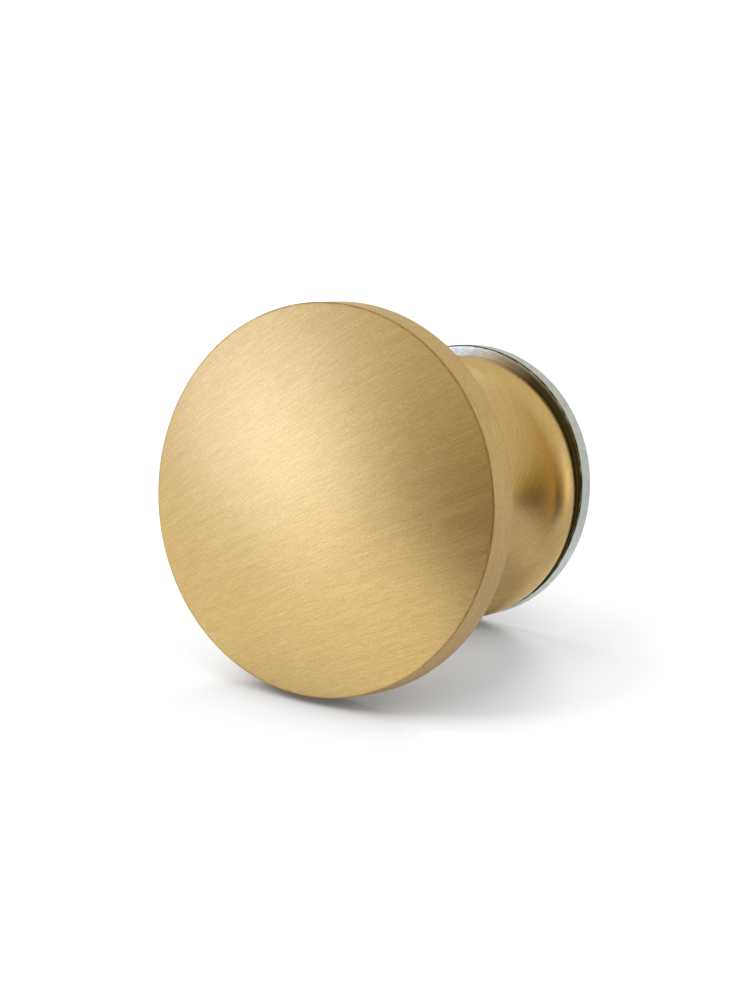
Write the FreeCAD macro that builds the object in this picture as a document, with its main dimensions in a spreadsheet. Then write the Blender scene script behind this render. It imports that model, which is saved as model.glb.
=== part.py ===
import FreeCAD, Part
import Sketcher
import math
import os

# A cabinet knob: a brass mushroom knob, turned in one piece, with a stamped steel washer behind its foot.
# The knob stands out from a cabinet front along -Y and +Z is up, as when it is mounted.
# The origin is the centre of the back face, where the washer meets the cabinet front.

doc = FreeCAD.newDocument("cabinet_knob")
sheet = doc.addObject("Spreadsheet::Sheet", "Sizes")


def size(alias, value, meaning):
    """Writes one driving size, in millimetres, to the next row of the sheet, and returns it."""
    row = len(sheet.getUsedCells()) // 2 + 1
    sheet.set(f"A{row}", meaning)
    sheet.set(f"B{row}", str(value))
    sheet.setAlias(f"B{row}", alias)
    return value


# Head
head_diameter = size("head_diameter", 34.0, "across the cylindrical rim of the head")
dome_height = size("dome_height", 3.0, "rise of the domed face above the rim's front edge")
rim_width = size("rim_width", 3.3, "width of the cylindrical rim, along the axis")
size("rim_front_break", 0.12, "radius that softens the edge between dome and rim")
size("rim_back_break", 0.16, "chamfer on the rear edge of the rim")

# Neck and foot
knob_length = size("knob_length", 23.7, "from the foot's back face to the rim's front edge")
waist_diameter = size("waist_diameter", 12.0, "thinnest part of the neck")
waist_height = size("waist_height", 8.9, "from the foot's back face to the thinnest part of the neck")
foot_diameter = size("foot_diameter", 23.8, "across the foot")
foot_band = size("foot_band", 0.5, "straight edge of the foot, along the axis")
lip_radius = size("lip_radius", 1.7, "rounding between the foot's edge and the hollow of the neck")
size("foot_back_break", 0.3, "chamfer on the rear edge of the foot")

# Tapped hole for the mounting screw
screw_diameter = size("screw_diameter", 4.0, "mounting screw")
thread_height = size("thread_height", 0.35, "depth that the tapped thread is cut into the wall, on one side")
thread_depth = size("thread_depth", 12.0, "length of the hole's straight wall")
mouth_chamfer = size("mouth_chamfer", 0.3, "countersink beyond the screw's radius at the mouth of the hole")
drill_point_angle = size("drill_point_angle", 118.0, "angle of the drill point, in degrees")

# Washer
washer_thickness = size("washer_thickness", 1.7, "thickness of the steel washer")
washer_margin = size("washer_margin", 0.43, "how much further the washer's edge reaches than the foot's")
washer_shift = size("washer_shift", 0.53, "how far the loosely fitting washer sits above the knob's axis")
screw_gap = size("screw_gap", 0.12, "gap left between screw and washer on the tight side")
size("washer_roll", 0.12, "edge rounded over by the punch, on the knob's side")
size("washer_break", 0.1, "chamfer on the washer's other edges")
doc.recompute()


def origin_plane(body, role):
    """The body's own origin plane of that role."""
    return next(feature for feature in body.Origin.OriginFeatures if feature.Role == role)


def new_sketch(body, name, role):
    """A sketch on one of the body's own origin planes."""
    sketch = body.newObject("Sketcher::SketchObject", name)
    sketch.AttachmentSupport = (origin_plane(body, role), [""])
    sketch.MapMode = "FlatFace"
    return sketch


def relate(sketch, *constraints):
    """Adds constraints that hold with no size of their own."""
    for constraint in constraints:
        sketch.addConstraint(Sketcher.Constraint(*constraint))


def dimension(sketch, name, constraint, formula):
    """Adds a named dimension and binds it to the sheet."""
    index = sketch.addConstraint(Sketcher.Constraint(*constraint))
    sketch.renameConstraint(index, name)
    sketch.setExpression(f"Constraints.{name}", formula)


def flat(x, y):
    """A point in a sketch's plane."""
    return FreeCAD.Vector(x, y, 0)


def arc(centre, start, end):
    """The arc that turns anticlockwise about the centre, from start to end."""
    spoke = start - centre
    circle = Part.Circle(centre, FreeCAD.Vector(0, 0, 1), spoke.Length)
    return Part.ArcOfCircle(circle, circle.parameter(start), circle.parameter(end))


def circular_edges(feature, radius, along_y):
    """Names of the feature's full circles that have this radius and this place along Y."""
    names = []
    for number, edge in enumerate(feature.Shape.Edges, start=1):
        if edge.Degenerated or not isinstance(edge.Curve, Part.Circle):
            continue
        if abs(edge.Curve.Radius - radius) < 1e-4 and abs(edge.Curve.Center.y - along_y) < 1e-4:
            names.append(f"Edge{number}")
    if not names:
        raise ValueError(f"{feature.Name} has no circle of radius {radius} at y = {along_y}")
    return names


def break_edge(body, kind, name, edges, formula):
    """Rounds (Fillet) or chamfers (Chamfer) edges of the body's last feature."""
    base = body.Tip
    feature = body.newObject(f"PartDesign::{kind}", name)
    feature.Base = (base, edges)
    feature.setExpression("Radius" if kind == "Fillet" else "Size", formula)
    doc.recompute()
    return feature


# Knob body, modelled with the centre of its back face at the body's own origin.
# In the profile's sketch x is the radius and y the place along the axis, negative towards the head.
ORIGIN = -1
START, END, CENTRE = 1, 2, 3
head_radius = head_diameter / 2
foot_radius = foot_diameter / 2
waist_radius = waist_diameter / 2
AXIS, DOME, RIM, FRONT_COVE, REAR_COVE, LIP, BAND, BACK = range(8)

knob = doc.addObject("PartDesign::Body", "KnobBody")
knob.Label = "knob_body"
profile = new_sketch(knob, "KnobProfile", "XY_Plane")

dome_radius = (head_radius**2 + dome_height**2) / (2 * dome_height)
apex = flat(0, -knob_length - dome_height)
rim_front = flat(head_radius, -knob_length)
rim_back = flat(head_radius, rim_width - knob_length)
waist = flat(waist_radius, -waist_height)
band_front = flat(foot_radius, -foot_band)
band_back = flat(foot_radius, 0)

# Both coves are centred level with the waist. The front one ends at the rim's rear edge, and the
# rear one runs on tangent into the rounded lip of the foot.
front_reach = head_radius - waist_radius
front_run = waist.y - rim_back.y
front_cove_radius = (front_reach**2 + front_run**2) / (2 * front_reach)
front_centre = flat(waist_radius + front_cove_radius, waist.y)
lip_centre = flat(foot_radius - lip_radius, -foot_band)
lip_reach = lip_centre.x - waist_radius
lip_run = lip_centre.y - waist.y
rear_cove_radius = (lip_reach**2 + lip_run**2 - lip_radius**2) / (2 * (lip_reach + lip_radius))
rear_centre = flat(waist_radius + rear_cove_radius, waist.y)
lip_start = lip_centre + (rear_centre - lip_centre).normalize() * lip_radius

profile.addGeometry(
    [
        Part.LineSegment(flat(0, 0), apex),
        arc(apex + flat(0, dome_radius), apex, rim_front),
        Part.LineSegment(rim_front, rim_back),
        arc(front_centre, waist, rim_back),
        arc(rear_centre, lip_start, waist),
        arc(lip_centre, lip_start, band_front),
        Part.LineSegment(band_front, band_back),
        Part.LineSegment(band_back, flat(0, 0)),
    ],
    False,
)
relate(
    profile,
    ("Coincident", AXIS, START, ORIGIN, START),
    ("Vertical", AXIS),
    ("Coincident", AXIS, END, DOME, START),
    ("PointOnObject", DOME, CENTRE, ORIGIN - 1),
    ("Coincident", DOME, END, RIM, START),
    ("Vertical", RIM),
    ("Coincident", RIM, END, FRONT_COVE, END),
    ("Coincident", FRONT_COVE, START, REAR_COVE, END),
    ("Horizontal", FRONT_COVE, START, FRONT_COVE, CENTRE),
    ("Horizontal", REAR_COVE, END, REAR_COVE, CENTRE),
    ("Tangent", REAR_COVE, START, LIP, START),
    ("Tangent", LIP, END, BAND, START),
    ("Vertical", BAND),
    ("Coincident", BAND, END, BACK, START),
    ("Coincident", BACK, END, ORIGIN, START),
    ("Horizontal", BACK),
)
dimension(profile, "head", ("DistanceX", ORIGIN, START, RIM, START, head_radius), "Sizes.head_diameter / 2")
dimension(profile, "dome", ("DistanceY", AXIS, END, RIM, START, dome_height), "Sizes.dome_height")
dimension(profile, "rim", ("DistanceY", RIM, START, RIM, END, rim_width), "Sizes.rim_width")
dimension(profile, "length", ("DistanceY", RIM, START, ORIGIN, START, knob_length), "Sizes.knob_length")
dimension(profile, "neck", ("DistanceX", ORIGIN, START, FRONT_COVE, START, waist_radius), "Sizes.waist_diameter / 2")
dimension(profile, "waist", ("DistanceY", FRONT_COVE, START, ORIGIN, START, waist_height), "Sizes.waist_height")
dimension(profile, "foot", ("DistanceX", ORIGIN, START, BAND, END, foot_radius), "Sizes.foot_diameter / 2")
dimension(profile, "band", ("DistanceY", BAND, START, BAND, END, foot_band), "Sizes.foot_band")
dimension(profile, "lip", ("Radius", LIP, lip_radius), "Sizes.lip_radius")

turned = knob.newObject("PartDesign::Revolution", "Turned")
turned.Profile = profile
turned.ReferenceAxis = (profile, ["V_Axis"])
turned.Angle = 360
doc.recompute()

# The turned edges are broken before the hole is drilled, while each circle is easy to tell apart.
rim_front_edge = circular_edges(turned, head_radius, -knob_length)
rim_front_rounding = break_edge(knob, "Fillet", "RimFrontEdge", rim_front_edge, "Sizes.rim_front_break")
rim_back_edge = circular_edges(rim_front_rounding, head_radius, rim_width - knob_length)
rim_back_chamfer = break_edge(knob, "Chamfer", "RimBackEdge", rim_back_edge, "Sizes.rim_back_break")
foot_back_edge = circular_edges(rim_back_chamfer, foot_radius, 0)
foot_back_chamfer = break_edge(knob, "Chamfer", "FootBackEdge", foot_back_edge, "Sizes.foot_back_break")

# The hole's wall stands at the thread's crests, and a drill point closes it.
screw_radius = screw_diameter / 2
crest_radius = screw_radius - thread_height
mouth_radius = screw_radius + mouth_chamfer
mouth_depth = mouth_radius - crest_radius
point_depth = crest_radius / math.tan(math.radians(drill_point_angle / 2))
corners = [
    flat(0, 0),
    flat(mouth_radius, 0),
    flat(crest_radius, -mouth_depth),
    flat(crest_radius, -mouth_depth - thread_depth),
    flat(0, -mouth_depth - thread_depth - point_depth),
]
bore = new_sketch(knob, "HoleProfile", "XY_Plane")
bore.addGeometry([Part.LineSegment(*ends) for ends in zip(corners, corners[1:] + corners[:1])], False)
FACE, MOUTH, WALL, POINT, MIDDLE = range(5)
relate(
    bore,
    ("Coincident", FACE, START, ORIGIN, START),
    ("Horizontal", FACE),
    ("Coincident", FACE, END, MOUTH, START),
    ("Coincident", MOUTH, END, WALL, START),
    ("Vertical", WALL),
    ("Coincident", WALL, END, POINT, START),
    ("Coincident", POINT, END, MIDDLE, START),
    ("Coincident", MIDDLE, END, ORIGIN, START),
    ("Vertical", MIDDLE),
)
crest_formula = "Sizes.screw_diameter / 2 - Sizes.thread_height"
dimension(
    bore, "mouth", ("DistanceX", FACE, START, FACE, END, mouth_radius), "Sizes.screw_diameter / 2 + Sizes.mouth_chamfer"
)
dimension(bore, "crest", ("DistanceX", ORIGIN, START, WALL, START, crest_radius), crest_formula)
dimension(
    bore, "sink", ("DistanceY", WALL, START, FACE, END, mouth_depth), "Sizes.mouth_chamfer + Sizes.thread_height"
)
dimension(bore, "wall", ("DistanceY", WALL, END, WALL, START, thread_depth), "Sizes.thread_depth")
dimension(
    bore,
    "point",
    ("DistanceY", POINT, END, WALL, END, point_depth),
    f"({crest_formula}) / tan(Sizes.drill_point_angle / 2 * 1 deg)",
)
solid_volume = foot_back_chamfer.Shape.Volume
hole = knob.newObject("PartDesign::Groove", "TappedHole")
hole.Profile = bore
hole.ReferenceAxis = (bore, ["V_Axis"])
hole.Angle = 360
doc.recompute()
if hole.Shape.Volume >= solid_volume:
    raise ValueError("the tapped hole cut nothing from the knob")

knob.setExpression("Placement.Base.y", "-Sizes.washer_thickness")

# Washer: a flat disc between the foot and the cabinet front. Its hole clears the screw by enough
# for the washer to sit off the knob's axis.
washer_radius = foot_radius + washer_margin
washer_hole_radius = screw_radius + washer_shift + screw_gap

washer = doc.addObject("PartDesign::Body", "Washer")
washer.Label = "washer"
outline = new_sketch(washer, "WasherOutline", "XZ_Plane")
RIM_CIRCLE, HOLE_CIRCLE = range(2)
outline.addGeometry(
    [
        Part.Circle(flat(0, 0), FreeCAD.Vector(0, 0, 1), washer_radius),
        Part.Circle(flat(0, 0), FreeCAD.Vector(0, 0, 1), washer_hole_radius),
    ],
    False,
)
relate(
    outline,
    ("Coincident", RIM_CIRCLE, CENTRE, ORIGIN, START),
    ("Coincident", HOLE_CIRCLE, CENTRE, ORIGIN, START),
)
dimension(outline, "edge", ("Radius", RIM_CIRCLE, washer_radius), "Sizes.foot_diameter / 2 + Sizes.washer_margin")
dimension(
    outline,
    "hole",
    ("Radius", HOLE_CIRCLE, washer_hole_radius),
    "Sizes.screw_diameter / 2 + Sizes.washer_shift + Sizes.screw_gap",
)
disc = washer.newObject("PartDesign::Pad", "Disc")
disc.Profile = outline
disc.setExpression("Length", "Sizes.washer_thickness")
doc.recompute()

# The disc runs from the cabinet front, at y = 0, to the foot.
knob_side_edge = circular_edges(disc, washer_radius, -washer_thickness)
rolled_edge = break_edge(washer, "Fillet", "RolledEdge", knob_side_edge, "Sizes.washer_roll")
sheared_edges = (
    circular_edges(rolled_edge, washer_radius, 0)
    + circular_edges(rolled_edge, washer_hole_radius, 0)
    + circular_edges(rolled_edge, washer_hole_radius, -washer_thickness)
)
break_edge(washer, "Chamfer", "ShearedEdges", sheared_edges, "Sizes.washer_break")
washer.setExpression("Placement.Base.z", "Sizes.washer_shift")
doc.recompute()

# Every object is sound before anything is written.
for item in doc.Objects:
    if "Invalid" in item.State or "Error" in item.State:
        raise ValueError(f"{item.Name} did not build: {item.State}")

os.makedirs("parts", exist_ok=True)
for part in (knob, washer):
    if part.Shape.isNull() or not part.Shape.isValid():
        raise ValueError(f"{part.Label} has no valid shape")
    part.Shape.exportStep(f"parts/{part.Label}.step")
    print(part.Label, round(part.Shape.Volume, 2), "mm3", part.Shape.BoundBox)
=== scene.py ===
import math

import bmesh
import bpy
from bpy.props import FloatProperty, FloatVectorProperty, IntProperty, PointerProperty
from mathutils import Matrix, Vector, noise


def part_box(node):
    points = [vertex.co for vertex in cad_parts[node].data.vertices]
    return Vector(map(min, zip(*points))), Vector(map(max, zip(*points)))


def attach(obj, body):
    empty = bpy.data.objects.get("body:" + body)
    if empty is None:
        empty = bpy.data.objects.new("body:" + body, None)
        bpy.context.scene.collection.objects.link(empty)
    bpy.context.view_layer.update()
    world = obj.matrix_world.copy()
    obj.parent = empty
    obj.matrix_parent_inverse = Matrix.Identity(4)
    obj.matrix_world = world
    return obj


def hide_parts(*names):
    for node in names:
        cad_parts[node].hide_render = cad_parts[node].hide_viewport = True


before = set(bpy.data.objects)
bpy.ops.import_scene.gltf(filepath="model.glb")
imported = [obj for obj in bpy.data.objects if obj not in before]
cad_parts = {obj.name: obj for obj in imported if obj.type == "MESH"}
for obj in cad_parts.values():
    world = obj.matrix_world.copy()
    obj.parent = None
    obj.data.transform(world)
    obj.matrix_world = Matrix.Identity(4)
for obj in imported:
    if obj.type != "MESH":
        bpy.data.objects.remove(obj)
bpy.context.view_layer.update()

bl_info = {
    "name": "Cabinet knob",
    "version": (1, 0, 0),
    "blender": (4, 5, 0),
    "location": "3D View > Sidebar > Cabinet knob",
    "description": "Dresses a brass cabinet knob and its washer, and sets the stage around them",
    "category": "Object",
}

MM = 0.001
DEGREE = math.pi / 180

# The knob's axis runs along Y, with the head towards -Y, and +Z is up. The frame gives the
# outer sizes.
knob_low, knob_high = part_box("knob_body")
washer_low, washer_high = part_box("washer")

# The stroke map of each piece is in millimetres, and this long for one turn round the axis
STROKE_MAP = "strokes"
STROKE_REACH = 75.0


# ---- Sizes, colours and stage settings that a user may change


def length(name, description, default):
    """A length property, given in metres."""
    return FloatProperty(
        name=name, description=description, default=default, min=0.0, unit="LENGTH", precision=5
    )


def angle(name, description, default):
    """An angle property, given in radians."""
    return FloatProperty(name=name, description=description, default=default, unit="ROTATION")


def colour(name, description, default):
    """A colour property, linear."""
    return FloatVectorProperty(
        name=name, description=description, default=default, subtype="COLOR", min=0.0, max=1.0
    )


def face_count(description, default):
    """How many faces go round a turned piece."""
    return IntProperty(name="Segments", description=description, default=default, min=32, max=360)


class KnobSizes(bpy.types.PropertyGroup):
    """Sizes of the turned knob."""

    head_diameter: length("Head", "Across the rim of the head", knob_high.x - knob_low.x)
    overall_length: length(
        "Length", "From the foot's back face to the top of the dome", knob_high.y - knob_low.y
    )
    dome_height: length("Dome", "Rise of the domed face above the rim", 3.0 * MM)
    rim_width: length("Rim", "Width of the cylindrical rim, along the axis", 3.3 * MM)
    rim_front_break: length("Rim front break", "Radius between dome and rim", 0.12 * MM)
    rim_back_break: length("Rim back break", "Chamfer on the rear edge of the rim", 0.16 * MM)
    waist_diameter: length("Waist", "Thinnest part of the neck", 12.0 * MM)
    waist_height: length(
        "Waist height", "From the foot's back face to the thinnest part of the neck", 8.9 * MM
    )
    foot_diameter: length("Foot", "Across the foot", 23.8 * MM)
    foot_band: length("Foot band", "Straight edge of the foot, along the axis", 0.5 * MM)
    lip_radius: length("Lip", "Rounding between the foot's edge and the neck's hollow", 1.7 * MM)
    foot_back_break: length("Foot back break", "Chamfer on the rear edge of the foot", 0.3 * MM)
    screw_diameter: length("Screw", "Thread size of the mounting screw", 4.0 * MM)
    thread_pitch: length("Pitch", "Pitch of the tapped thread", 0.7 * MM)
    thread_height: length("Thread height", "Depth of the thread's cut into the wall", 0.35 * MM)
    thread_depth: length("Thread depth", "Length of the hole's straight wall", 12.0 * MM)
    mouth_chamfer: length("Countersink", "Countersink beyond the screw's radius", 0.3 * MM)
    segments: face_count("Faces round the knob", 256)


class WasherSizes(bpy.types.PropertyGroup):
    """Sizes of the stamped washer."""

    diameter: length("Washer", "Across the washer", washer_high.x - washer_low.x)
    thickness: length("Thickness", "Thickness of the sheet", washer_high.y - washer_low.y)
    shift: length(
        "Shift", "How far the loose washer sits above the axis", (washer_high.z + washer_low.z) / 2
    )
    hole_diameter: length("Hole", "Across the hole for the screw", 5.3 * MM)
    roll: length("Rolled edge", "Edge rounded over by the punch, on the knob's side", 0.12 * MM)
    edge_break: length("Edge break", "Chamfer on the other edges", 0.1 * MM)
    ripple: length("Ripple", "Unevenness of the sheared edge", 0.02 * MM)
    segments: face_count("Faces round the washer", 288)


class FinishColours(bpy.types.PropertyGroup):
    """Colours of the finishes."""

    brass: colour("Brass", "Satin brass", (0.81, 0.58, 0.255))
    brass_worn: colour("Worn brass", "Nicks along the face's edge", (0.46, 0.285, 0.10))
    brass_deep: colour("Deep brass", "Bottom of the brush strokes", (0.645, 0.442, 0.168))
    zinc: colour("Zinc", "Zinc plate on the washer's edge", (0.75, 0.81, 0.78))
    zinc_flat: colour("Flat zinc", "Zinc plate on the washer's flat faces", (0.82, 0.83, 0.66))
    zinc_dull: colour("Dull zinc", "Darker spangles of the zinc plate", (0.54, 0.58, 0.55))
    # Painted shade: the dark colour painted into the washer's crevice, and along its front edge in
    # place of a dark reflection
    painted_shade: colour("Painted shade", "Painted shade in the crevice and a painted dark line along the front edge", (0.05, 0.045, 0.03))


class StageSettings(bpy.types.PropertyGroup):
    """Camera, floor and light."""

    azimuth: angle("Azimuth", "Camera's turn about Z", 30.731 * DEGREE)
    elevation: angle("Elevation", "Camera above the axis", 7.890 * DEGREE)
    roll: angle("Roll", "Camera leaning over", -7.119 * DEGREE)
    distance: length("Distance", "From the camera to the point that it aims at", 349.54 * MM)
    aim: FloatVectorProperty(
        name="Aim",
        description="Point in the middle of the picture",
        default=(-1.000 * MM, -14.906 * MM, -0.691 * MM),
        subtype="TRANSLATION",
        precision=5,
    )
    lens: FloatProperty(
        name="Lens", description="Focal length, in millimetres", default=143.116, min=10
    )
    floor_radius: length("Floor", "Radius of the floor", 0.4)
    tent_radius: length("Light tent", "Radius of the tent that the metal mirrors", 0.6)
    sky: FloatProperty(
        name="Sky", description="Level light on the floor from all round", default=0.45, min=0.0
    )


# ---- Meshes

# Finishes of the knob and of the washer, in the order of their materials
FACE_BRASS, RIM_BRASS, NECK_BRASS = range(3)
ZINC_FACE, ZINC_EDGE = range(2)

# Steps along each part of the profiles
DOME_STEPS, EDGE_STEPS, RIM_STEPS, COVE_STEPS = 48, 8, 8, 32
LIP_STEPS, BAND_STEPS, FACE_STEPS, WALL_STEPS = 10, 4, 16, 160
WASHER_FACE_STEPS, WASHER_EDGE_STEPS = 28, 16

# How far the brush moved along the profile in one turn of the work
RIM_FEED, NECK_FEED = 3.7 * MM, 29 * MM

# The face's strokes spread from a point below it on the left, this many millimetres away
FAN_DISTANCE = 103.0
FAN_ANGLE = 32.6 * DEGREE
FAN_POINT = (-FAN_DISTANCE * math.cos(FAN_ANGLE), -FAN_DISTANCE * math.sin(FAN_ANGLE))

DRILL_POINT_ANGLE = 118 * DEGREE

# Shares of the thread's pitch that are flat at its crests and at its roots
CREST_SHARE, ROOT_SHARE = 0.125, 0.25
# The hole's wall is told from other places by its radius, within this much
WALL_TOLERANCE = 0.001 * MM

# Tears to a millimetre of the washer's edge, and how much finer and fainter the small ones are
TEAR_SCALE = 0.9
SMALL_TEAR_FINENESS, SMALL_TEAR_SHARE = 3, 0.5
# How deep the edge is drawn in where it isn't torn, and how much the tears change that
TEAR_LEVEL, TEAR_SWING = 0.5, 0.5

# Edges sharper than this stay sharp in smooth shading
SHARP_ANGLE = 50 * DEGREE


def arc_points(centre, radius, start, end, steps):
    """Points along an arc in the profile's plane, from angle to angle, both ends included."""
    return [
        (centre[0] + radius * math.cos(a), centre[1] + radius * math.sin(a))
        for a in (start + (end - start) * i / steps for i in range(steps + 1))
    ]


def line_points(start, end, steps):
    """Points along a straight run, without its first end."""
    return [
        tuple(a + (b - a) * i / steps for a, b in zip(start, end)) for i in range(1, steps + 1)
    ]


def angle_from(centre, point):
    """Direction of a point seen from a centre, in the profile's plane."""
    return math.atan2(point[1] - centre[1], point[0] - centre[0])


class Run:
    """A stretch of a turned profile with one finish.

    Its points are (radius, y). Its feed is how far the brush moved along the profile in one
    turn of the work.
    """

    def __init__(self, finish, points, feed=0.0):
        self.finish, self.points, self.feed = finish, points, feed


def turn(name, runs, segments):
    """A mesh turned about Y from runs whose ends meet.

    In the stroke map, strokes run along U. V is the distance along the profile, less the feed.
    """
    rings, travelled = [], 0.0
    for run in runs:
        for point in run.points[1:] if rings else run.points:
            if rings:
                travelled += math.dist(rings[-1]["point"], point)
            rings.append({"point": point, "travelled": travelled, "run": run})
    vertices = []
    for ring in rings:
        radius, y = ring["point"]
        count = segments if radius > 0 else 1
        ring["vertices"] = [len(vertices) + j % count for j in range(segments + 1)]
        for j in range(count):
            turned = math.tau * j / segments
            vertices.append((radius * math.sin(turned), y, -radius * math.cos(turned)))
    faces, finishes, corners = [], [], []
    for ring, following in zip(rings, rings[1:]):
        run = following["run"]
        for j in range(segments):
            face = []
            for edge, place in ((ring, j), (ring, j + 1), (following, j + 1), (following, j)):
                vertex = edge["vertices"][place]
                if vertex in face:
                    continue
                face.append(vertex)
                share = place / segments
                corners += (STROKE_REACH * share, (edge["travelled"] - run.feed * share) / MM)
            faces.append(face)
            finishes.append(run.finish)
    mesh = bpy.data.meshes.new(name)
    mesh.from_pydata(vertices, [], faces)
    mesh.polygons.foreach_set("material_index", finishes)
    mesh.uv_layers.new(name=STROKE_MAP).data.foreach_set("uv", corners)
    mesh.shade_smooth()
    mesh.validate()
    return mesh


def fan_strokes(mesh, finish):
    """Lays the stroke map of one finish's faces in a fan of straight strokes."""
    strokes = mesh.uv_layers[STROKE_MAP].data
    for face in mesh.polygons:
        if face.material_index != finish:
            continue
        for corner, vertex in zip(face.loop_indices, face.vertices):
            x, _, z = mesh.vertices[vertex].co / MM
            x, z = x - FAN_POINT[0], z - FAN_POINT[1]
            strokes[corner].uv = (math.hypot(x, z), math.atan2(z, x) * FAN_DISTANCE)


def show(mesh, materials):
    """Puts a mesh in the scene, with its materials, smooth but with its sharp edges kept."""
    for material in materials:
        mesh.materials.append(material)
    piece = bpy.data.objects.new(mesh.name, mesh)
    bpy.context.scene.collection.objects.link(piece)
    mesh.set_sharp_from_angle(angle=SHARP_ANGLE)
    weighted = piece.modifiers.new("Even shading", "WEIGHTED_NORMAL")
    weighted.keep_sharp = True
    return piece


def rim_front(sizes):
    """Where the dome meets the rim, along the axis."""
    return knob_high.y - sizes.overall_length + sizes.dome_height


def knob_profile(s):
    """Runs of the knob's profile, from the top of the dome round to the bottom of the hole."""
    head, foot, waist = s.head_diameter / 2, s.foot_diameter / 2, s.waist_diameter / 2
    back = knob_high.y
    front = back - s.overall_length
    rim_back, waist_y = rim_front(s) + s.rim_width, back - s.waist_height

    # Dome, rounded into the rim
    dome_radius = (head**2 + s.dome_height**2) / (2 * s.dome_height)
    dome_centre = (0.0, front + dome_radius)
    rounding = s.rim_front_break
    round_x = head - rounding
    reach = dome_radius - rounding
    round_centre = (round_x, dome_centre[1] - math.sqrt(reach**2 - round_x**2))
    dome_end = angle_from(dome_centre, round_centre)
    dome = arc_points(dome_centre, dome_radius, -math.pi / 2, dome_end, DOME_STEPS)
    dome[0] = (0.0, front)
    edge = arc_points(round_centre, rounding, dome_end, 0.0, EDGE_STEPS)
    half = EDGE_STEPS // 2

    # Rim, chamfered at the back
    rim_end = (head, rim_back - s.rim_back_break)
    rim = line_points(edge[-1], rim_end, RIM_STEPS)

    # Both coves are centred level with the waist. The front one ends at the rim's rear edge, and
    # the rear one runs on into the rounded lip of the foot.
    front_reach, front_run = head - waist, waist_y - rim_back
    front_radius = (front_reach**2 + front_run**2) / (2 * front_reach)
    front_centre = (waist + front_radius, waist_y)
    lip_centre = (foot - s.lip_radius, back - s.foot_band)
    lip_reach, lip_run = lip_centre[0] - waist, lip_centre[1] - waist_y
    rear_radius = (lip_reach**2 + lip_run**2 - s.lip_radius**2) / (2 * (lip_reach + s.lip_radius))
    rear_centre = (waist + rear_radius, waist_y)

    cove_start = math.tau + angle_from(front_centre, (head, rim_back))
    cove_start -= s.rim_back_break / front_radius
    front_cove = arc_points(front_centre, front_radius, cove_start, math.pi, COVE_STEPS)
    lip_angle = angle_from(rear_centre, lip_centre)
    rear_cove = arc_points(rear_centre, rear_radius, math.pi, lip_angle, COVE_STEPS)
    lip = arc_points(lip_centre, s.lip_radius, lip_angle - math.pi, 0.0, LIP_STEPS)

    # Foot, and the tapped hole with its countersink and drill point
    screw = s.screw_diameter / 2
    mouth = screw + s.mouth_chamfer
    crest = screw - s.thread_height
    sink = mouth - crest
    drill_point = crest / math.tan(DRILL_POINT_ANGLE / 2)
    band_end, face_start = (foot, back - s.foot_back_break), (foot - s.foot_back_break, back)
    face_end, wall_start = (mouth, back), (crest, back - sink)
    hole_end = (crest, back - sink - s.thread_depth)
    band = line_points(lip[-1], band_end, BAND_STEPS)
    return [
        Run(FACE_BRASS, dome + edge[1 : half + 1]),
        Run(RIM_BRASS, edge[half:] + rim + front_cove[:1], RIM_FEED),
        Run(NECK_BRASS, front_cove + rear_cove[1:] + lip[1:] + band, NECK_FEED),
        Run(NECK_BRASS, [band_end, face_start] + line_points(face_start, face_end, FACE_STEPS)),
        Run(NECK_BRASS, [face_end, wall_start] + line_points(wall_start, hole_end, WALL_STEPS)),
        Run(NECK_BRASS, [hole_end, (0.0, hole_end[1] - drill_point)]),
    ]


def cut_thread(mesh, s):
    """Cuts the tapped thread into the hole's wall, running out at both ends."""
    crest = s.screw_diameter / 2 - s.thread_height
    wall_start = knob_high.y - s.mouth_chamfer - s.thread_height
    wall_end = wall_start - s.thread_depth
    for vertex in mesh.vertices:
        x, y, z = vertex.co
        radius = math.hypot(x, z)
        if abs(radius - crest) > WALL_TOLERANCE:
            continue
        turns = y / s.thread_pitch + math.atan2(z, x) / math.tau
        ridge = abs(2 * (turns - math.floor(turns)) - 1)
        groove = min(max((ridge - CREST_SHARE) / (1 - CREST_SHARE - ROOT_SHARE), 0.0), 1.0)
        run_out = min((wall_start - y) / s.thread_pitch, (y - wall_end) / s.thread_pitch, 1.0)
        grown = 1 + s.thread_height * groove * max(run_out, 0.0) / radius
        vertex.co = (x * grown, y, z * grown)
    mesh.update()


class AddTurnedKnob(bpy.types.Operator):
    """Turns the brass knob and brushes it"""

    bl_idname = "object.add_turned_knob"
    bl_label = "Turned knob"

    def execute(self, context):
        sizes = context.scene.knob_sizes
        mesh = turn("turned_knob", knob_profile(sizes), sizes.segments)
        fan_strokes(mesh, FACE_BRASS)
        cut_thread(mesh, sizes)
        knob = show(mesh, [face_brass(context), rim_brass(context), neck_brass(context)])
        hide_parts("knob_body")
        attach(knob, "root")
        return {"FINISHED"}


def washer_profile(s):
    """Runs of the washer's profile: its front face, its edge, its back face and its hole."""
    edge, hole, front = s.diameter / 2, s.hole_diameter / 2, -s.thickness
    roll = arc_points((edge - s.roll, front + s.roll), s.roll, -math.pi / 2, 0.0, EDGE_STEPS)
    band_end, back_start = (edge, -s.edge_break), (edge - s.edge_break, 0.0)
    back_end, front_start = (hole + s.edge_break, 0.0), (hole + s.edge_break, front)
    band = line_points(roll[-1], band_end, WASHER_EDGE_STEPS)
    wall = [(hole, -s.edge_break), (hole, front + s.edge_break)]
    return [
        Run(ZINC_FACE, [front_start] + line_points(front_start, roll[0], WASHER_FACE_STEPS)),
        Run(ZINC_EDGE, roll + band + [back_start]),
        Run(ZINC_FACE, [back_start] + line_points(back_start, back_end, WASHER_FACE_STEPS)),
        Run(ZINC_EDGE, [back_end] + wall + [front_start]),
    ]


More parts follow.
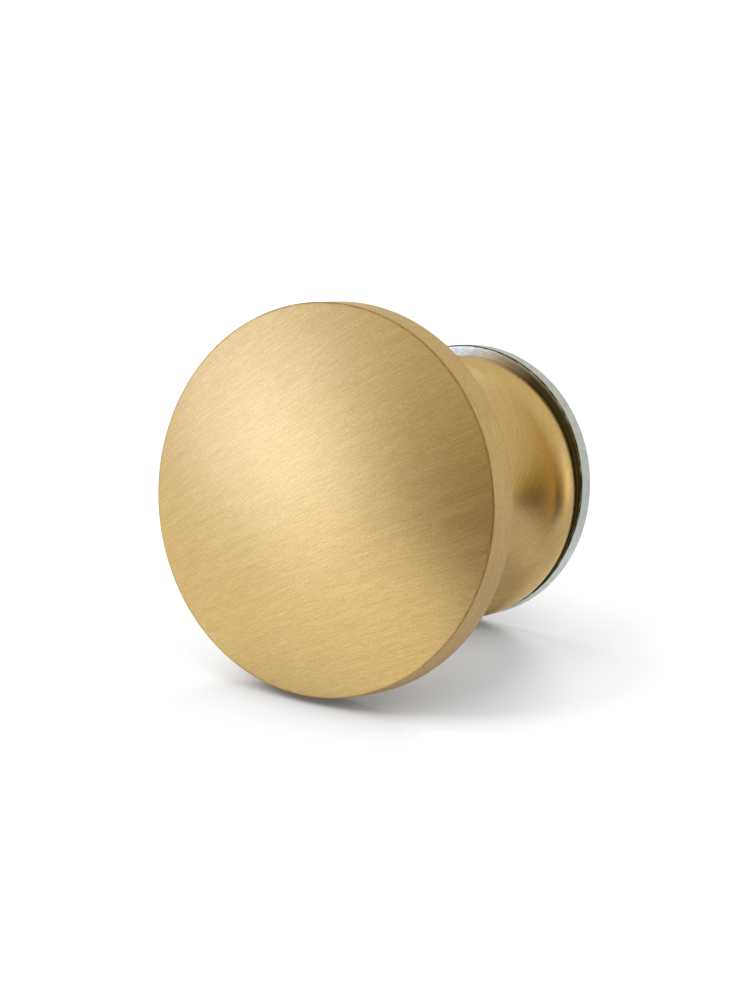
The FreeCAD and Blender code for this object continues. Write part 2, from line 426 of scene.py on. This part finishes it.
def roughen_edge(mesh, s):
    """Draws the sheared edge in and out a little, most where the punch tore it."""
    edge = s.diameter / 2
    for vertex in mesh.vertices:
        x, y, z = vertex.co
        radius = math.hypot(x, z)
        share = min(max((radius - edge + s.roll) / s.roll, 0.0), 1.0)
        if share == 0.0:
            continue
        place = vertex.co / MM
        small_tear = noise.noise(place * TEAR_SCALE * SMALL_TEAR_FINENESS)
        tear = noise.noise(place * TEAR_SCALE) + SMALL_TEAR_SHARE * small_tear
        inward = 1 - s.ripple * share * (TEAR_LEVEL + TEAR_SWING * tear) / radius
        vertex.co = (x * inward, y, z * inward)
    mesh.update()


class AddSteelWasher(bpy.types.Operator):
    """Stamps the zinc plated washer behind the knob's foot"""

    bl_idname = "object.add_steel_washer"
    bl_label = "Steel washer"

    def execute(self, context):
        sizes = context.scene.washer_sizes
        mesh = turn("steel_washer", washer_profile(sizes), sizes.segments)
        roughen_edge(mesh, sizes)
        mesh.transform(Matrix.Translation((0, 0, sizes.shift)))
        washer = show(mesh, [zinc_face(context), zinc_edge(context)])
        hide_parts("washer")
        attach(washer, "root")
        return {"FINISHED"}


# ---- Nodes

# Places of the Mix node's sockets for colours, which share their names with its other sockets
MIX_FACTOR, MIX_FIRST, MIX_SECOND, MIX_RESULT = 0, 6, 7, 2


def set_inputs(tree, node, values):
    """Gives a node's inputs numbers, colours or sockets, by the inputs' names or places."""
    for key, value in values.items():
        if isinstance(value, bpy.types.NodeSocket):
            tree.links.new(value, node.inputs[key])
        else:
            node.inputs[key].default_value = value


def add_node(tree, kind, values=None, **settings):
    """Adds a node with its settings and the values of its inputs."""
    node = tree.nodes.new(kind)
    for name, setting in settings.items():
        setattr(node, name, setting)
    set_inputs(tree, node, values or {})
    return node


def math_node(tree, operation, *values):
    """The result of a Math node."""
    values = dict(enumerate(values))
    return add_node(tree, "ShaderNodeMath", values, operation=operation).outputs[0]


def vector_node(tree, operation, *values):
    """The result of a Vector Math node."""
    values = dict(enumerate(values))
    return add_node(tree, "ShaderNodeVectorMath", values, operation=operation).outputs[0]


def diagonal(tree, a, b):
    """Length of the diagonal over two lengths at right angles."""
    squares = math_node(tree, "MULTIPLY_ADD", a, a, math_node(tree, "MULTIPLY", b, b))
    return math_node(tree, "SQRT", squares)


def noise_node(tree, vector, scale, detail, roughness=0.5):
    """Smooth noise from 0 to 1 at a place."""
    values = {"Vector": vector, "Scale": scale, "Detail": detail, "Roughness": roughness}
    return add_node(tree, "ShaderNodeTexNoise", values).outputs["Fac"]


def spread(tree, value, span, onto=(0.0, 1.0), smooth=False):
    """Maps one span of a value onto another, held at both ends."""
    values = {
        "Value": value,
        "From Min": span[0],
        "From Max": span[1],
        "To Min": onto[0],
        "To Max": onto[1],
    }
    kind = "SMOOTHSTEP" if smooth else "LINEAR"
    return add_node(tree, "ShaderNodeMapRange", values, interpolation_type=kind).outputs["Result"]


def mix_colour(tree, factor, first, second):
    """Blends two colours."""
    values = {MIX_FACTOR: factor, MIX_FIRST: first, MIX_SECOND: second}
    return add_node(tree, "ShaderNodeMix", values, data_type="RGBA").outputs[MIX_RESULT]


def relief(tree, depth, height):
    """Normals of a surface with relief of some depth."""
    values = {"Strength": 1.0, "Distance": depth, "Height": height}
    return add_node(tree, "ShaderNodeBump", values).outputs[0]


def own_place(tree):
    """The place on an object, in its own metres."""
    return add_node(tree, "ShaderNodeTexCoord").outputs["Object"]


def split(tree, place):
    """X, Y and Z of a place."""
    return add_node(tree, "ShaderNodeSeparateXYZ", {0: place}).outputs


def new_group(name, inputs, outputs):
    """An empty node group with named inputs and outputs, and its two end nodes."""
    group = bpy.data.node_groups.new(name, "ShaderNodeTree")
    for socket_name, kind, default in inputs:
        socket = group.interface.new_socket(socket_name, in_out="INPUT", socket_type=kind)
        if default is not None:
            socket.default_value = default
    for socket_name, kind in outputs:
        group.interface.new_socket(socket_name, in_out="OUTPUT", socket_type=kind)
    return group, group.nodes.new("NodeGroupInput"), group.nodes.new("NodeGroupOutput")


def new_material(name):
    """A material, its node tree and its Principled shader."""
    material = bpy.data.materials.new(name)
    material.use_nodes = True
    tree = material.node_tree
    return material, tree, tree.nodes["Principled BSDF"]


# ---- Brush strokes and wear

# Shares of fine and long lines in the strokes, and how high the speckle stands beside them
FINE_SHARE, LONG_SHARE, SPECKLE_SHARE = 0.55, 0.45, 0.4
# Only these peaks of the noise are pits
PIT_SPAN = (0.76, 0.82)

# How far the lines carry the mark away from an edge, and where it goes from none to full. The mark
# is wear on the knob and painted shade on the washer's front edge.
WEAR_AND_SHADE_BY_LINES = 3.4
WEAR_AND_SHADE_SPAN = (0.6, 1.3)


def stroke_group():
    """Brush strokes along U of the stroke map: lines, long bands, a speckle and pits."""
    group = bpy.data.node_groups.get("Brush strokes")
    if group:
        return group
    inputs = [
        ("Place", "NodeSocketVector", None),
        ("Stroke length", "NodeSocketFloat", 1.5),
        ("Stroke width", "NodeSocketFloat", 0.13),
    ]
    names = ("Lines", "Bands", "Speckle", "Pits", "Height")
    outputs = [(name, "NodeSocketFloat") for name in names]
    group, start, end = new_group("Brush strokes", inputs, outputs)
    values = {0: start.outputs["Stroke length"], 1: start.outputs["Stroke width"], 2: 1.0}
    stroke = add_node(group, "ShaderNodeCombineXYZ", values).outputs[0]

    def drawn_out(longer, wider, shift, detail, roughness=0.5):
        """Noise in strokes so many times longer and wider, each kind from its own part of it."""
        size = vector_node(group, "MULTIPLY", stroke, (longer, wider, 1.0))
        moved = vector_node(group, "ADD", start.outputs["Place"], shift)
        place = vector_node(group, "DIVIDE", moved, size)
        return noise_node(group, place, 1.0, detail, roughness)

    fine = drawn_out(1.0, 1.0, shift=(11.0, 3.0, 0.0), detail=1.0, roughness=0.6)
    long = drawn_out(3.2, 1.2, shift=(37.0, 19.0, 4.0), detail=1.0)
    long = math_node(group, "MULTIPLY", long, LONG_SHARE)
    lines = math_node(group, "MULTIPLY_ADD", fine, FINE_SHARE, long)
    bands = drawn_out(7.0, 7.0, shift=(5.0, 71.0, 8.0), detail=2.0, roughness=0.6)
    speckle = drawn_out(0.16, 1.25, shift=(23.0, 41.0, 2.0), detail=1.0, roughness=0.6)
    height = math_node(group, "MULTIPLY_ADD", speckle, SPECKLE_SHARE, lines)
    peaks = drawn_out(0.4, 2.6, shift=(3.0, 17.0, 6.0), detail=0.0)
    pits = spread(group, peaks, PIT_SPAN)
    for name, value in zip(names, (lines, bands, speckle, pits, height)):
        group.links.new(value, end.inputs[name])
    return group


def edge_wear_and_shade_group():
    """Ragged marks along a round edge, given its radius and its place along and above the axis:
    nicks on the knob, painted shade on the washer.
    """
    group = bpy.data.node_groups.get("Edge wear and shade")
    if group:
        return group
    inputs = [
        ("Lines", "NodeSocketFloat", 0.5),
        ("Radius", "NodeSocketFloat", 17 * MM),
        ("Along", "NodeSocketFloat", 0.0),
        ("Above", "NodeSocketFloat", 0.0),
        ("Reach", "NodeSocketFloat", 0.5 * MM),
    ]
    group, start, end = new_group("Edge wear and shade", inputs, [("Wear and shade", "NodeSocketFloat")])
    x, y, height = split(group, own_place(group))
    z = math_node(group, "SUBTRACT", height, start.outputs["Above"])
    across = math_node(group, "SUBTRACT", diagonal(group, x, z), start.outputs["Radius"])
    along = math_node(group, "SUBTRACT", y, start.outputs["Along"])
    share = math_node(group, "DIVIDE", diagonal(group, across, along), start.outputs["Reach"])
    less = math_node(group, "MULTIPLY", share, -1.0)
    ragged = math_node(group, "MULTIPLY_ADD", start.outputs["Lines"], WEAR_AND_SHADE_BY_LINES, less)
    group.links.new(spread(group, ragged, WEAR_AND_SHADE_SPAN), end.inputs["Wear and shade"])
    return group


def lay_strokes(tree, stroke_length, stroke_width):
    """The brush strokes of a material, as outputs by name. Their sizes are in millimetres."""
    place = add_node(tree, "ShaderNodeUVMap", uv_map=STROKE_MAP).outputs[0]
    values = {"Place": place, "Stroke length": stroke_length, "Stroke width": stroke_width}
    return add_node(tree, "ShaderNodeGroup", values, node_tree=stroke_group()).outputs


def wear_and_shade_edge(tree, lines, radius, along, reach, above=0.0):
    """How marked a place is near a round edge: worn on the knob, darkened by painted shade on the
    washer.
    """
    values = {"Lines": lines, "Radius": radius, "Along": along, "Above": above, "Reach": reach}
    return add_node(tree, "ShaderNodeGroup", values, node_tree=edge_wear_and_shade_group()).outputs[0]


# ---- Brass

# Spans of the strokes and of the speckle, from their lows to their highs
STROKE_SPAN, SPECKLE_SPAN = (0.35, 0.65), (0.3, 0.7)
# How much lines, bands, specks and pits darken the brass. The highest specks lighten it.
DARK_LINES, DARK_BANDS, DARK_SPECKS, LIGHT_SPECKS, DARK_PITS = 0.78, 0.24, 0.45, -0.35, 0.8
# How far the roughness goes down and up with the bands
ROUGHNESS_SWING = 0.015
# A quarter turn, so that highlights stretch across the strokes
ACROSS_THE_STROKES = 0.25


def brush_brass(
    context, tree, shader, strokes, roughness, depth, anisotropy, contrast=1.0, wear=0.0
):
    """Gives a material satin brass, darker in its strokes and where it is worn."""
    colours = context.scene.finish_colours
    lines = spread(tree, strokes["Lines"], STROKE_SPAN, (DARK_LINES, 0.0))
    bands = spread(tree, strokes["Bands"], STROKE_SPAN, (DARK_BANDS, 0.0))
    specks = spread(tree, strokes["Speckle"], SPECKLE_SPAN, (DARK_SPECKS, LIGHT_SPECKS))
    dark = math_node(tree, "ADD", lines, math_node(tree, "ADD", bands, specks))
    dark = math_node(tree, "ADD", dark, math_node(tree, "MULTIPLY", strokes["Pits"], DARK_PITS))
    dark = math_node(tree, "MULTIPLY", dark, contrast)
    dark = math_node(tree, "MAXIMUM", dark, 0.0)
    satin = mix_colour(tree, dark, (*colours.brass, 1), (*colours.brass_deep, 1))
    uneven = (roughness - ROUGHNESS_SWING, roughness + ROUGHNESS_SWING)
    tangent = add_node(tree, "ShaderNodeTangent", direction_type="UV_MAP", uv_map=STROKE_MAP)
    finish = {
        "Base Color": mix_colour(tree, wear, satin, (*colours.brass_worn, 1)),
        "Roughness": spread(tree, strokes["Bands"], SPECKLE_SPAN, uneven),
        "Normal": relief(tree, depth, strokes["Height"]),
        "Tangent": tangent.outputs[0],
        "Metallic": 1.0,
        "Anisotropic": anisotropy,
        "Anisotropic Rotation": ACROSS_THE_STROKES,
    }
    set_inputs(tree, shader, finish)


def wear_rim_front(context, tree, lines, reach):
    """How worn a place is, near the edge between dome and rim."""
    sizes = context.scene.knob_sizes
    return wear_and_shade_edge(tree, lines, sizes.head_diameter / 2, rim_front(sizes), reach)


def face_brass(context):
    """The domed face, brushed on a belt in one sweep that fans out and nicks the face's edge."""
    material, tree, shader = new_material("Brushed brass face")
    strokes = lay_strokes(tree, stroke_length=1.05, stroke_width=0.09)
    half_lines = math_node(tree, "MULTIPLY", strokes["Lines"], 0.5)
    nicks = math_node(tree, "MULTIPLY_ADD", strokes["Bands"], 0.5, half_lines)
    wear = wear_rim_front(context, tree, nicks, reach=0.17 * MM)
    finish = {"roughness": 0.33, "depth": 0.0026 * MM, "anisotropy": 0.7, "contrast": 1.1}
    brush_brass(context, tree, shader, strokes, wear=wear, **finish)
    return material


def rim_brass(context):
    """The rim, brushed while it turned, so that the strokes run round."""
    material, tree, shader = new_material("Brushed brass rim")
    strokes = lay_strokes(tree, stroke_length=1.6, stroke_width=0.11)
    wear = wear_rim_front(context, tree, strokes["Lines"], reach=0.08 * MM)
    finish = {"roughness": 0.34, "depth": 0.0035 * MM, "anisotropy": 0.65}
    brush_brass(context, tree, shader, strokes, wear=wear, **finish)
    return material


def neck_brass(context):
    """Neck, foot, back and hole, smoother than the head, with the strokes winding round."""
    material, tree, shader = new_material("Turned brass neck")
    strokes = lay_strokes(tree, stroke_length=2.8, stroke_width=0.11)
    finish = {"roughness": 0.30, "depth": 0.0012 * MM, "anisotropy": 0.4, "contrast": 0.65}
    brush_brass(context, tree, shader, strokes, **finish)
    return material


# ---- Zinc plate

# Spangles and grains to a metre
SPANGLE_SCALE, GRAIN_SCALE = 1.3 / MM, 5.0 / MM
# Marks and spangles from bright to dull, and how dull each makes the plate
MARK_SPAN, MARK_DULLNESS = (0.6, 1.2), 0.5
SPANGLE_SPAN, SPANGLE_DULLNESS = (0.35, 0.7), 0.5
# Dull spangles are rougher by this much
ROUGH_SPAN, ROUGHER = (0.3, 0.7), 0.12
MARK_DEPTH = 0.004 * MM
# How far the painted dark line reaches in from the washer's front edge, in place of a dark
# reflection
EDGE_SHADE_REACH = 0.17 * MM

# Painted shade lies in the crevice, on the ring round the foot, this far beyond its edge, darkest
# close in
CREVICE_SHADE_SPAN = (0.5 * MM, 1.0 * MM)
DARKEST_CREVICE_SHADE = 0.93
# It lies on the front face only, told by shares of the washer's thickness
FRONT_SPAN = (-0.6, -0.5)
# It is painted heaviest on the right, away from the light, and the left is nearly unshaded
SHADED_SIDE_SPAN, LEFT_SIDE_SHADE = (1 * MM, 6 * MM), 0.1


def plate_zinc(context, tree, shader, strokes, plate, roughness, brushing, painted_shade=0.0):
    """Gives a material mottled zinc plate with faint strokes, a painted dark line along the front
    edge, and painted shade where it is given.
    """
    colours, sizes = context.scene.finish_colours, context.scene.washer_sizes
    place = own_place(tree)
    spangle = noise_node(tree, place, SPANGLE_SCALE, detail=3.0, roughness=0.6)
    grains = noise_node(tree, place, GRAIN_SCALE, detail=1.0)
    marks = math_node(tree, "MULTIPLY_ADD", strokes["Height"], brushing, grains)
    marked = spread(tree, marks, MARK_SPAN)
    mottled = spread(tree, spangle, SPANGLE_SPAN, (0.0, SPANGLE_DULLNESS))
    dull = math_node(tree, "MULTIPLY_ADD", marked, MARK_DULLNESS, mottled)
    unshaded_plate = mix_colour(tree, dull, (*plate, 1), (*colours.zinc_dull, 1))
    edge = {"radius": sizes.diameter / 2, "along": -sizes.thickness, "above": sizes.shift}
    # Painted shade: a ragged dark line along the front edge, in place of a dark reflection
    edge_shade = wear_and_shade_edge(tree, strokes["Lines"], reach=EDGE_SHADE_REACH, **edge)
    shaded = math_node(tree, "MAXIMUM", edge_shade, painted_shade)
    finish = {
        "Base Color": mix_colour(tree, shaded, unshaded_plate, (*colours.painted_shade, 1)),
        "Roughness": spread(tree, spangle, ROUGH_SPAN, (roughness, roughness + ROUGHER)),
        "Normal": relief(tree, MARK_DEPTH, marks),
        "Metallic": 1.0,
    }
    set_inputs(tree, shader, finish)


def zinc_face(context):
    """The washer's flat faces, with faint strokes that run round, and painted shade in the crevice
    beside the foot.
    """
    sizes, colours = context.scene.washer_sizes, context.scene.finish_colours
    foot = context.scene.knob_sizes.foot_diameter / 2
    ring = [foot + reach for reach in CREVICE_SHADE_SPAN]
    front = [share * sizes.thickness for share in FRONT_SPAN]
    material, tree, shader = new_material("Zinc plate face")
    x, y, z = split(tree, own_place(tree))
    # Painted shade in the crevice round the foot, on the front face only, heaviest on the right
    near_foot = spread(tree, diagonal(tree, x, z), ring, (DARKEST_CREVICE_SHADE, 0.0))
    in_front = spread(tree, y, front, (1.0, 0.0))
    to_the_right = spread(tree, x, SHADED_SIDE_SPAN, (LEFT_SIDE_SHADE, 1.0))
    painted_shade = math_node(tree, "MULTIPLY", near_foot, in_front)
    painted_shade = math_node(tree, "MULTIPLY", painted_shade, to_the_right)
    strokes = lay_strokes(tree, stroke_length=2.5, stroke_width=0.14)
    finish = {"plate": colours.zinc_flat, "roughness": 0.20, "brushing": 0.5, "painted_shade": painted_shade}
    plate_zinc(context, tree, shader, strokes, **finish)
    return material


def zinc_edge(context):
    """The washer's sheared edge, duller than its faces."""
    colours = context.scene.finish_colours
    material, tree, shader = new_material("Zinc plate edge")
    strokes = lay_strokes(tree, stroke_length=1.2, stroke_width=0.12)
    finish = {"plate": colours.zinc, "roughness": 0.36, "brushing": 0.6}
    plate_zinc(context, tree, shader, strokes, **finish)
    return material


# ---- Stage

# Width of the camera's sensor in millimetres, and its nearest sight in metres
SENSOR_WIDTH = 36.0
CLIP_START = 0.01

FLOOR_SIDES = 96
# Albedo of the floor as the camera sees it, and as the metal mirrors it. The mirrored floor has
# painted shade: brightest in front, and dimmest away from the windows
FLOOR_WHITE = 0.9
MIRRORED_LEFT, MIRRORED_IN_FRONT, MIRRORED_RIGHT = 0.70, 0.85, 0.45
# Where the mirrored floor changes, across the floor
LEFT_SPAN, RIGHT_SPAN = (-30 * MM, -2 * MM), (8 * MM, 28 * MM)
# Share of the mirrored floor's light that the metal throws back onto the floor
THROWN_BACK = 0.35
# Light in the floor's shadow that only the camera sees
SHADOW_FILL = 0.07

# Level light of the tent, and the share of its light that the metal throws onto the floor
LEVEL_LIGHT = (0.71, 0.68, 0.60)
GLOW_ON_THE_FLOOR = 0.05


def toward(azimuth, elevation):
    """The way to something seen from the knob. Azimuth 0 is in front, and turns to the right."""
    level = math.cos(elevation)
    return Vector((math.sin(azimuth) * level, -math.cos(azimuth) * level, math.sin(elevation)))


def place_camera(context, stage):
    """The camera, aimed at the knob and leaning a little."""
    back = toward(stage.azimuth, stage.elevation)
    level = (-back).cross(Vector((0, 0, 1))).normalized()
    upright = level.cross(-back)
    up = upright * math.cos(stage.roll) + level * math.sin(stage.roll)
    right = (-back).cross(up)
    camera = bpy.data.objects.new("Camera", bpy.data.cameras.new("Camera"))
    context.scene.collection.objects.link(camera)
    turned = Matrix((right, up, back)).transposed().to_4x4()
    camera.matrix_world = Matrix.Translation(Vector(stage.aim) + back * stage.distance) @ turned
    camera.data.lens = stage.lens
    camera.data.sensor_width = SENSOR_WIDTH
    camera.data.clip_start = CLIP_START
    context.scene.camera = camera


def stage_material(name):
    """A material that isn't sampled as a lamp, and its empty node tree."""
    material = bpy.data.materials.new(name)
    material.use_nodes = True
    material.cycles.emission_sampling = "NONE"
    material.node_tree.nodes.clear()
    return material, material.node_tree


def white_floor():
    """White, with painted shade where the metal mirrors it, lifted for the camera, and clear from
    below.
    """
    material, tree = stage_material("White floor")
    path = add_node(tree, "ShaderNodeLightPath").outputs
    across = split(tree, own_place(tree))["X"]
    # Painted shade on the floor that the metal mirrors: darker to the left, darkest to the right
    left_tones = (MIRRORED_LEFT, MIRRORED_IN_FRONT)
    right_tones = (MIRRORED_IN_FRONT, MIRRORED_RIGHT)
    to_left = spread(tree, across, LEFT_SPAN, left_tones, smooth=True)
    to_right = spread(tree, across, RIGHT_SPAN, right_tones, smooth=True)
    mirrored = math_node(tree, "MINIMUM", to_left, to_right)
    kept = spread(tree, path["Diffuse Depth"], (0.0, 1.0), (1.0, THROWN_BACK))
    dimmed = math_node(tree, "MULTIPLY", mirrored, kept)
    white = spread(tree, path["Is Glossy Ray"], (0.0, 1.0), (FLOOR_WHITE, dimmed))
    diffuse = add_node(tree, "ShaderNodeBsdfDiffuse", {"Color": white})
    fill = math_node(tree, "MULTIPLY", path["Is Camera Ray"], SHADOW_FILL)
    filled = add_node(tree, "ShaderNodeEmission", {"Strength": fill})
    lit = add_node(tree, "ShaderNodeAddShader", {0: diffuse.outputs[0], 1: filled.outputs[0]})
    clear = add_node(tree, "ShaderNodeBsdfTransparent")
    backfacing = add_node(tree, "ShaderNodeNewGeometry").outputs["Backfacing"]
    sides = {0: backfacing, 1: lit.outputs[0], 2: clear.outputs[0]}
    mixed = add_node(tree, "ShaderNodeMixShader", sides)
    add_node(tree, "ShaderNodeOutputMaterial", {0: mixed.outputs[0]})
    return material


def lay_floor(context, stage):
    """A round floor that the knob lies on, touching the rim's rear edge and the washer."""
    sizes, washer = context.scene.knob_sizes, context.scene.washer_sizes
    mesh = bpy.data.meshes.new("floor")
    turns = [math.tau * i / FLOOR_SIDES for i in range(FLOOR_SIDES)]
    reach = stage.floor_radius
    ring = [(math.cos(turned) * reach, math.sin(turned) * reach, 0.0) for turned in turns]
    mesh.from_pydata(ring, [], [list(range(FLOOR_SIDES))])
    floor = bpy.data.objects.new("floor", mesh)
    context.scene.collection.objects.link(floor)
    rim_back = rim_front(sizes) + sizes.rim_width
    drop = sizes.head_diameter / 2 - (washer.diameter / 2 - washer.shift)
    floor.rotation_euler = (math.atan2(drop, -rim_back), 0, 0)
    floor.location = (0, 0, washer.shift - washer.diameter / 2)
    mesh.materials.append(white_floor())


def add_sun(context, name, azimuth, elevation, width, strength):
    """A wide soft sun for the floor, which the metal doesn't mirror. Its angles are in degrees."""
    light = bpy.data.lights.new(name, "SUN")
    light.angle = width * DEGREE
    light.energy = strength
    lamp = bpy.data.objects.new(name, light)
    facing = toward(azimuth * DEGREE, elevation * DEGREE)
    lamp.rotation_euler = facing.to_track_quat("Z", "Y").to_euler()
    lamp.visible_glossy = False
    context.scene.collection.objects.link(lamp)


def light_floor(context):
    """Wide suns round the knob, so that the white floor keeps its soft shadow."""
    add_sun(context, "Left sun", azimuth=-75, elevation=50, width=44, strength=1.10)
    add_sun(context, "Rear sun", azimuth=-165, elevation=50, width=24, strength=1.04)
    add_sun(context, "Front sun", azimuth=-30, elevation=35, width=24, strength=0.82)
    add_sun(context, "Right sun", azimuth=75, elevation=50, width=70, strength=1.04)


def soft_patch_group():
    """Light that fades evenly all round from the middle of a patch."""
    group = bpy.data.node_groups.get("Soft patch")
    if group:
        return group
    inputs = [
        ("Place", "NodeSocketVector", None),
        ("Middle", "NodeSocketVector", None),
        ("Sharpness", "NodeSocketFloat", 5.0),
        ("Light", "NodeSocketVector", None),
    ]
    group, start, end = new_group("Soft patch", inputs, [("Light", "NodeSocketVector")])
    values = {0: start.outputs["Place"], 1: start.outputs["Middle"]}
    facing = add_node(group, "ShaderNodeVectorMath", values, operation="DOT_PRODUCT")
    away = math_node(group, "SUBTRACT", facing.outputs["Value"], 1.0)
    fall = math_node(group, "MULTIPLY", away, start.outputs["Sharpness"])
    values = {0: start.outputs["Light"], "Scale": math_node(group, "EXPONENT", fall)}
    light = add_node(group, "ShaderNodeVectorMath", values, operation="SCALE")
    group.links.new(light.outputs[0], end.inputs["Light"])
    return group


def tent_glow():
    """Level light with three bright windows and a dark card, dimmer where it lights the floor."""
    material, tree = stage_material("Light tent")
    place = vector_node(tree, "NORMALIZE", own_place(tree))

    def patch(name, azimuth, elevation, sharpness, light):
        """One soft patch of light, or of dark where its light is negative."""
        middle = toward(azimuth * DEGREE, elevation * DEGREE)
        values = {"Place": place, "Middle": middle, "Sharpness": sharpness, "Light": light}
        group = soft_patch_group()
        return add_node(tree, "ShaderNodeGroup", values, node_tree=group, label=name).outputs[0]

    light = LEVEL_LIGHT
    for share in (
        patch("Wide window", azimuth=-50, elevation=4, sharpness=10.3, light=(0.72, 0.91, 1.75)),
        patch("Small window", azimuth=-30, elevation=-5, sharpness=23.7, light=(0.85, 0.93, 1.32)),
        patch("Dark card", azimuth=37, elevation=-49, sharpness=3.6, light=(-2.10, -2.28, -2.84)),
        patch("Side window", azimuth=95, elevation=6, sharpness=16.0, light=(0.62, 0.64, 0.68)),
    ):
        light = vector_node(tree, "ADD", share, light)
    light = vector_node(tree, "MAXIMUM", light, (0, 0, 0))
    bounced = add_node(tree, "ShaderNodeLightPath").outputs["Diffuse Depth"]
    strength = spread(tree, bounced, (0.0, 1.0), (1.0, GLOW_ON_THE_FLOOR))
    glow = add_node(tree, "ShaderNodeEmission", {"Color": light, "Strength": strength})
    add_node(tree, "ShaderNodeOutputMaterial", {0: glow.outputs[0]})
    return material


def hang_tent(context, stage):
    """A light tent round the knob, which only the metal mirrors."""
    mesh = bpy.data.meshes.new("light_tent")
    shell = bmesh.new()
    bmesh.ops.create_icosphere(shell, subdivisions=4, radius=stage.tent_radius)
    shell.to_mesh(mesh)
    shell.free()
    tent = bpy.data.objects.new("light_tent", mesh)
    context.scene.collection.objects.link(tent)
    for ray in ("camera", "diffuse", "transmission", "shadow"):
        setattr(tent, f"visible_{ray}", False)
    mesh.materials.append(tent_glow())


def white_world(context, stage):
    """White all round, for the background, and dimmer where it lights the floor."""
    world = bpy.data.worlds.new("White studio")
    world.use_nodes = True
    context.scene.world = world
    tree = world.node_tree
    tree.nodes.clear()
    path = add_node(tree, "ShaderNodeLightPath").outputs
    seen = math_node(tree, "MAXIMUM", path["Is Camera Ray"], path["Is Glossy Ray"])
    seen = math_node(tree, "MAXIMUM", seen, path["Is Transmission Ray"])
    strength = spread(tree, seen, (0.0, 1.0), (stage.sky, 1.0))
    values = {"Color": (1, 1, 1, 1), "Strength": strength}
    background = add_node(tree, "ShaderNodeBackground", values)
    add_node(tree, "ShaderNodeOutputWorld", {0: background.outputs[0]})


class SetKnobStage(bpy.types.Operator):
    """Sets the floor, the lamps, the white surroundings and the camera"""

    bl_idname = "scene.set_knob_stage"
    bl_label = "Stage"

    def execute(self, context):
        stage = context.scene.knob_stage
        lay_floor(context, stage)
        light_floor(context)
        hang_tent(context, stage)
        white_world(context, stage)
        place_camera(context, stage)
        context.scene.view_settings.view_transform = "Standard"
        return {"FINISHED"}


# ---- Add-on

SETTINGS = {
    "knob_sizes": KnobSizes,
    "washer_sizes": WasherSizes,
    "finish_colours": FinishColours,
    "knob_stage": StageSettings,
}
STEPS = (AddTurnedKnob, AddSteelWasher, SetKnobStage)


class KnobPanel(bpy.types.Panel):
    """Lists the knob's sizes, colours and steps"""

    bl_idname = "VIEW3D_PT_cabinet_knob"
    bl_label = "Cabinet knob"
    bl_space_type = "VIEW_3D"
    bl_region_type = "UI"
    bl_category = "Cabinet knob"

    def draw(self, context):
        for group in SETTINGS:
            box = self.layout.box()
            settings = getattr(context.scene, group)
            for name in type(settings).__annotations__:
                box.prop(settings, name)
        for step in STEPS:
            self.layout.operator(step.bl_idname)


def register():
    """Adds the settings, the steps and the panel."""
    for group, settings in SETTINGS.items():
        bpy.utils.register_class(settings)
        setattr(bpy.types.Scene, group, PointerProperty(type=settings))
    for step in (*STEPS, KnobPanel):
        bpy.utils.register_class(step)


def unregister():
    """Takes away what register added."""
    for step in reversed((*STEPS, KnobPanel)):
        bpy.utils.unregister_class(step)
    for group, settings in SETTINGS.items():
        delattr(bpy.types.Scene, group)
        bpy.utils.unregister_class(settings)


def main():
    """Makes the knob, the washer and their stage."""
    register()
    bpy.ops.object.add_turned_knob()
    bpy.ops.object.add_steel_washer()
    bpy.ops.scene.set_knob_stage()


if __name__ == "__main__":
    main()
